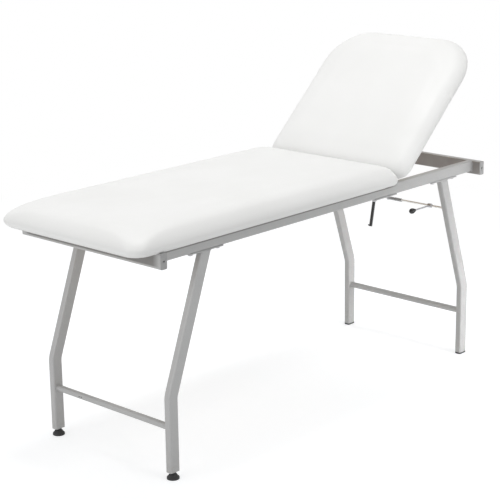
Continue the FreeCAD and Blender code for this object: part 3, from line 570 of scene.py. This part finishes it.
# where a pad lies before the backrest is raised: both ends, half width and underside
def padRoom(pad):
    low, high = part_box(pad["node"])
    if pad is backPad:
        x0 = tilt["hinge"].x + pad["start"]
        return x0, x0 + pad["length"], high.y, tilt["hinge"].z + pad["lift"]
    return low.x, high.x, high.y, low.z


def planLoop(x0, x1, half, corners, z, steps=12):
    line = []
    for turn, (x, inward, side, corner) in enumerate((
        (x1, -1, 1, corners[1]), (x0, 1, 1, corners[0]), (x0, 1, -1, corners[0]), (x1, -1, -1, corners[1]),
    )):
        for k in range(steps + 1):
            angle = math.radians(90 * turn + 90 * k / steps)
            line.append(Vector((x + inward * corner + corner * math.cos(angle),
                                side * (half - corner) + corner * math.sin(angle), z)))
    return line


# rows of the profile filled in with a smooth curve
def smoothRows(rows, fill=5):
    rows = np.array(rows)
    padded = np.vstack([2 * rows[0] - rows[1], rows, 2 * rows[-1] - rows[-2]])
    made = []
    for i in range(1, len(rows)):
        a, b, c, d = padded[i - 1:i + 3]
        for k in range(fill):
            t = k / fill
            made.append(0.5 * (2 * b + (c - a) * t + (2 * a - 5 * b + 4 * c - d) * t ** 2
                               + (3 * b - a - 3 * c + d) * t ** 3))
    made.append(rows[-1])
    return made


def padShell(pad):
    x0, x1, half, bottom = padRoom(pad)
    points, steps = [], 12
    rows = smoothRows(rollProfile)
    for side, rolled, share in rows:
        insets = [side, side]
        insets[pad["rolledEnd"]] = rolled
        corners = [max(c - side, c / 3) for c in pad["corners"]]
        rise = pad.get("cornerRise")
        if rise:
            bend = rise["low"] + (rise["high"] - rise["low"]) * min(max(share, 0.0), 1.0) ** rise["power"]
            corners = [min(bend, rise["widest"] * (half - side))] * 2
        corners[pad["rolledEnd"]] = pad["corners"][pad["rolledEnd"]]
        points += planLoop(x0 + insets[0], x1 - insets[1], half - side, corners,
                           bottom + pad["height"] * share, steps)
    sides = 4 * (steps + 1)
    return points, ringFaces(len(rows), sides, False)


def pointsOf(mesh):
    flat = np.zeros(len(mesh.vertices) * 3, np.float32)
    mesh.vertices.foreach_get("co", flat)
    return flat.reshape(-1, 3).astype(float)


def setPoints(mesh, points):
    mesh.vertices.foreach_set("co", np.asarray(points, np.float32).ravel())
    mesh.update()


def bakeModifiers(piece):
    graph = bpy.context.evaluated_depsgraph_get()
    made = bpy.data.meshes.new_from_object(piece.evaluated_get(graph))
    old = piece.data
    piece.modifiers.clear()
    piece.data = made
    bpy.data.meshes.remove(old)


# air pressure fills the cover out; the part that rests on the board is held
def swell(piece, pad, bottom):
    hold = piece.vertex_groups.new(name="hold")
    rest = pointsOf(piece.data)
    held = np.nonzero(rest[:, 2] < bottom + swelling["heldShare"] * pad["height"])[0]
    hold.add([int(i) for i in held], 1.0, "REPLACE")
    cloth = piece.modifiers.new("cover", "CLOTH")
    for key, value in cover.items():
        setattr(cloth.settings, key, value)
    cloth.settings.vertex_group_mass = "hold"
    cloth.settings.effector_weights.gravity = 0
    cloth.collision_settings.use_collision = False
    for number in range(1, swelling["frames"] + 1):
        scene.frame_set(number)
    bakeModifiers(piece)
    moved = pointsOf(piece.data) - rest
    reach = np.linalg.norm(moved, axis=1, keepdims=True)
    limit = 2 * pad["swell"]
    moved *= limit * np.tanh(reach / limit) / np.maximum(reach, 1e-9)
    setPoints(piece.data, rest + moved)
    scene.frame_set(1)
    print(pad["node"], "swollen by up to", round(float(reach.max()) * 1000, 1), "mm before the limit")


# keeps the cover close to the drawn form: full swell on top, hardly any at the sides
def settle(piece, pad, shell):
    tree = BVHTree.FromPolygons(*shell)
    sideRoom = swelling["sideRoom"]
    made = []
    for point in pointsOf(piece.data):
        spot, normal, _, _ = tree.find_nearest(Vector(point))
        room = sideRoom + (pad["swell"] - sideRoom) * max(normal.z, 0.0) ** 2
        made.append(spot + normal * min(max((Vector(point) - spot).dot(normal), 0.0), room))
    setPoints(piece.data, [tuple(p) for p in made])


# evens out the lying surface, leaving the rolled edge as it is
def evenTop(piece, pad, bottom):
    top = piece.vertex_groups.new(name="top")
    for i, point in enumerate(pointsOf(piece.data)):
        share = (point[2] - bottom) / pad["height"]
        if share > easing["topFrom"]:
            top.add([i], min(1.0, (share - easing["topFrom"]) / easing["topFade"]), "REPLACE")
    even = piece.modifiers.new("even", "SMOOTH")
    even.vertex_group = "top"
    even.factor = easing["factor"]
    even.iterations = easing["topRounds"]
    bakeModifiers(piece)


# small gathers round the lower corners, where the cover is drawn under
def gatherCorners(points, pad):
    x0, x1, half, bottom = padRoom(pad)
    for end, x, inward in ((0, x0, 1), (1, x1, -1)):
        corner = max(pad["corners"][end], gathers["leastCorner"])
        for side in (-1, 1):
            away = points[:, :2] - np.array([x + inward * corner, side * (half - corner)])
            inCorner = (away[:, 0] * inward < 0) & (away[:, 1] * side > 0)
            angle = np.arctan2(away[:, 1] * side, -away[:, 0] * inward)
            share = np.sin(np.clip(2 * angle, 0, math.pi))
            height = (points[:, 2] - bottom) / (gathers["heightShare"] * pad["height"])
            fade = np.clip(1 - height, 0, 1) ** 1.5
            run = angle * corner
            wave = np.sin(run / gathers["coarse"]) + 0.5 * np.sin(run / gathers["fine"] + 1.0)
            push = np.where(inCorner, pad["gather"] * share * fade * wave, 0.0)
            reach = np.maximum(np.linalg.norm(away, axis=1), 1e-6)
            points[:, 0] += away[:, 0] / reach * push
            points[:, 1] += away[:, 1] / reach * push
    return points


# the underside lies within the board's thickness, so the board and the turned edge show there
def sinkUnderside(points, pad):
    x0, x1, half, bottom = padRoom(pad)
    rolledRight = pad["rolledEnd"] == 1
    onRight = points[:, 0] > (x0 + x1) / 2
    rolledCorner = pad["corners"][pad["rolledEnd"]]
    corner = np.where(onRight == rolledRight, rolledCorner, pad["hemCorner"])
    along = np.abs(points[:, 0] - (x0 + x1) / 2) - ((x1 - x0) / 2 - sunken["inset"] - corner)
    across = np.abs(points[:, 1]) - (half - sunken["inset"] - corner)
    away = np.hypot(np.maximum(along, 0), np.maximum(across, 0)) + np.minimum(np.maximum(along, across), 0)
    share = np.clip((corner - away) / sunken["slope"], 0, 1)
    points[:, 2] = np.maximum(points[:, 2], bottom + sunken["depth"] * share)
    return points


def addPad(name, pad):
    bottom = padRoom(pad)[3]
    points, faces = padShell(pad)
    mesh = bpy.data.meshes.new(name)
    mesh.from_pydata([tuple(p) for p in points], [], faces)
    piece = bpy.data.objects.new(name, mesh)
    scene.collection.objects.link(piece)
    remesh = piece.modifiers.new("even", "REMESH")
    remesh.mode = "VOXEL"
    remesh.voxel_size = pad["voxel"]
    ease = piece.modifiers.new("ease", "SMOOTH")
    ease.factor = easing["factor"]
    ease.iterations = easing["rounds"]
    bakeModifiers(piece)
    swell(piece, pad, bottom)
    settle(piece, pad, (points, faces))
    evenTop(piece, pad, bottom)
    finer = piece.modifiers.new("finer", "SUBSURF")
    finer.levels = finer.render_levels = 1
    bakeModifiers(piece)
    shape = gatherCorners(pointsOf(piece.data), pad)
    shape = sinkUnderside(shape, pad)
    if pad is backPad:
        shape = np.array([tuple(p) for p in raised(shape)])
    setPoints(piece.data, shape)
    piece.data.polygons.foreach_set("use_smooth", [True] * len(piece.data.polygons))
    piece.data.materials.clear()
    piece.data.materials.append(looks["vinyl"])
    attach(piece, pad["body"])
    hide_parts(pad["node"])
    print(name, "has", len(piece.data.polygons), "faces")


addPad("seatPad", seatPad)
addPad("backPad", backPad)


# the cover's edge turned under each board, with its staples
hem = {
    "inset": 0.0125, "width": 0.0215, "thickness": 0.0006, "wobble": 0.0012,
    "staplePitch": 0.038, "stapleInset": 0.012, "step": 0.006, "keepAway": 0.075,
}
staple = {"length": 0.0105, "width": 0.0012, "proud": 0.0005, "crown": 0.93}


# along the sides and round the free end of a board, clear of the rolled end
def hemLine(pad):
    x0, x1, half, bottom = padRoom(pad)
    inset = hem["inset"]
    corners = [pad["hemCorner"]] * 2
    corners[pad["rolledEnd"]] = pad["corners"][pad["rolledEnd"]]
    loop = planLoop(x0 + inset, x1 - inset, half - inset, corners, bottom, 24)
    free = x0 if pad["rolledEnd"] == 1 else x1
    rolled = x1 if pad["rolledEnd"] == 1 else x0
    keepAway = hem["keepAway"]
    far = [p for p in loop if abs(p.x - rolled) > keepAway]
    far.sort(key=lambda p: math.atan2(p.y, (p.x - rolled) * (1 if free > rolled else -1)))
    stop = rolled + (keepAway if free > rolled else -keepAway)
    ends = [Vector((stop, far[0].y, bottom)), Vector((stop, far[-1].y, bottom))]
    return spread([ends[0]] + far + [ends[1]], hem["step"], False)


def addHem(name, pad):
    line = hemLine(pad)
    band, staples = Lump(), Lump()
    points, faces = [], []
    run, nextStaple = 0.0, hem["staplePitch"] / 2
    centre = sum(line, Vector((0, 0, 0))) / len(line)
    low = Vector((0, 0, -hem["thickness"]))
    for i, spot in enumerate(line):
        along = (line[min(i + 1, len(line) - 1)] - line[max(i - 1, 0)]).normalized()
        inward = Vector((-along.y, along.x, 0))
        if inward.dot(centre - spot) < 0:
            inward = -inward
        run += (spot - line[i - 1]).length if i else 0.0
        wobble = math.sin(run * 43) * 0.6 + math.sin(run * 97 + 1.3) * 0.4
        inner = spot + inward * (hem["width"] + hem["wobble"] * wobble)
        points += [spot, spot + low, inner + low * 0.9, inner]
        if run >= nextStaple:
            nextStaple += hem["staplePitch"]
            lean = 0.18 * math.sin(run * 61)
            staples.add(*stapleForm(spot + inward * hem["stapleInset"] + low, along, inward, lean))
    band.add(points, ringFaces(len(line), 4, False))
    if pad is backPad:
        band.points, staples.points = raised(band.points), raised(staples.points)
    band.piece(name + "Hem", "vinyl", pad["body"], "upholstery", False)
    staples.piece(name + "Staples", "zinc", pad["body"], "zinc_steel", False)


# a crown of wire pressed flat on the cover, its legs turned in
def stapleForm(spot, along, inward, lean):
    run = (along + inward * lean).normalized()
    half = staple["length"] / 2
    dip = Vector((0, 0, staple["proud"]))
    reach, crown = run * half, run * half * staple["crown"]
    line = [spot - reach + dip, spot - crown, spot + crown, spot + reach + dip]
    radius = staple["width"] / 2
    return barAlong(line, [radius * 0.8, radius, radius, radius * 0.8], False, 6)


addHem("seatPad", seatPad)
addHem("backPad", backPad)
print("hems and staples done")


# floor: white to the camera, with a faint shadow under the couch
ground = {
    "size": 40.0, "drop": 0.0005, "white": (0.893, 0.9, 0.908), "tint": (0.976, 0.988, 1.0),
    "shadow": 0.6, "glow": 1.66, "near": 1.5, "far": 3.4,
}


def seenRay(f):
    parts = [f.node("ShaderNodeLightPath", out=name)
             for name in ("Is Camera Ray", "Is Glossy Ray", "Is Transmission Ray")]
    return f.between(parts[0] + parts[1] + parts[2], 0.0, 1.0)


def addFloor():
    half = ground["size"] / 2
    mesh = bpy.data.meshes.new("studioFloor")
    corners = [(-half, -half, 0), (half, -half, 0), (half, half, 0), (-half, half, 0)]
    mesh.from_pydata(corners, [], [[0, 1, 2, 3]])
    floor = bpy.data.objects.new("studioFloor", mesh)
    floor.location.z = -ground["drop"]
    scene.collection.objects.link(floor)
    f = Finish("paleFloor")
    f.tree.nodes.remove(f.tree.nodes["Principled BSDF"])
    away = f.node("ShaderNodeVectorMath", {"operation": "LENGTH"}, {0: f.place()}, "Value")
    clear = f.between(away, ground["near"], ground["far"])
    matt = f.node("ShaderNodeBsdfDiffuse", {}, {"Color": (*ground["white"], 1)})
    glow = f.node("ShaderNodeEmission", {}, {"Color": (*ground["tint"], 1), "Strength": ground["glow"]})
    white = f.node("ShaderNodeEmission", {}, {"Color": (1, 1, 1, 1), "Strength": 1.0})
    close = f.node("ShaderNodeMixShader", {}, {0: 1 - ground["shadow"], 1: matt, 2: glow})
    seen = f.node("ShaderNodeMixShader", {}, {0: clear, 1: close, 2: white})
    both = f.node("ShaderNodeMixShader", {}, {0: seenRay(f), 1: matt, 2: seen})
    f.tree.links.new(both.socket, f.tree.nodes["Material Output"].inputs["Surface"])
    mesh.materials.append(f.material)


addFloor()

# soft studio light: two ceiling panels, two weak keys on the head legs, a fill by the foot end
sky = {"strength": 0.553}
lamps = {
    "ceiling": {"spot": (-0.2, 0.25, 4.4), "aim": (0.0, 0.0, 0.7), "size": 0.9, "watts": 47},
    "nearCeiling": {"spot": (-0.3, -2.3, 4.2), "aim": (0.0, 0.0, 0.7), "size": 0.9, "watts": 20},
    "headKey": {"spot": (1.5, -2.6, 0.45), "aim": (0.8, 0.0, 0.32), "size": 0.9, "watts": 1.6, "spread": 40},
    "headLow": {"spot": (1.0, -5.0, 1.9), "aim": (0.84, 0.0, 0.05), "size": 0.5, "watts": 0.75, "spread": 12},
    "footFill": {"spot": (-4.2, 0.4, 1.6), "aim": (0.0, 0.0, 0.6), "size": 2.4, "watts": 27},
}


def addLight():
    world = bpy.data.worlds.new("studio")
    world.use_nodes = True
    scene.world = world
    f = Finish("studio", world.node_tree)
    f.tree.nodes.remove(f.tree.nodes["Background"])
    dim = f.node("ShaderNodeBackground", {}, {"Color": (1, 1, 1, 1), "Strength": sky["strength"]})
    white = f.node("ShaderNodeBackground", {}, {"Color": (1, 1, 1, 1), "Strength": 1.0})
    both = f.node("ShaderNodeMixShader", {}, {0: seenRay(f), 1: dim, 2: white})
    f.tree.links.new(both.socket, f.tree.nodes["World Output"].inputs["Surface"])
    for name, lamp in lamps.items():
        data = bpy.data.lights.new(name, "AREA")
        data.energy = lamp["watts"]
        data.size = lamp["size"]
        data.spread = math.radians(lamp.get("spread", 180))
        light = bpy.data.objects.new(name, data)
        light.location = lamp["spot"]
        ahead = Vector(lamp["aim"]) - Vector(lamp["spot"])
        light.rotation_euler = ahead.to_track_quat("-Z", "Y").to_euler()
        scene.collection.objects.link(light)


addLight()

# camera where the photograph was taken from, angles in degrees
shot = {
    "spot": (-3.75165, -3.43129, 1.95958), "heading": 42.868, "dip": 15.58, "roll": -0.7807,
    "lens": 108.39, "sensor": 36.0, "reach": 200.0,
}


def addCamera():
    heading, dip, roll = [math.radians(shot[key]) for key in ("heading", "dip", "roll")]
    ahead = Vector((math.cos(heading) * math.cos(dip), math.sin(heading) * math.cos(dip), -math.sin(dip)))
    right = Vector((math.sin(heading), -math.cos(heading), 0))
    up = right.cross(ahead)
    side = right * math.cos(roll) + up * math.sin(roll)
    top = up * math.cos(roll) - right * math.sin(roll)
    data = bpy.data.cameras.new("shot")
    data.lens = shot["lens"]
    data.sensor_width = shot["sensor"]
    data.clip_end = shot["reach"]
    camera = bpy.data.objects.new("shot", data)
    turn = Matrix((side, top, -ahead)).transposed().to_4x4()
    camera.matrix_world = Matrix.Translation(shot["spot"]) @ turn
    scene.collection.objects.link(camera)
    scene.camera = camera


addCamera()
print("stage lit, camera set")
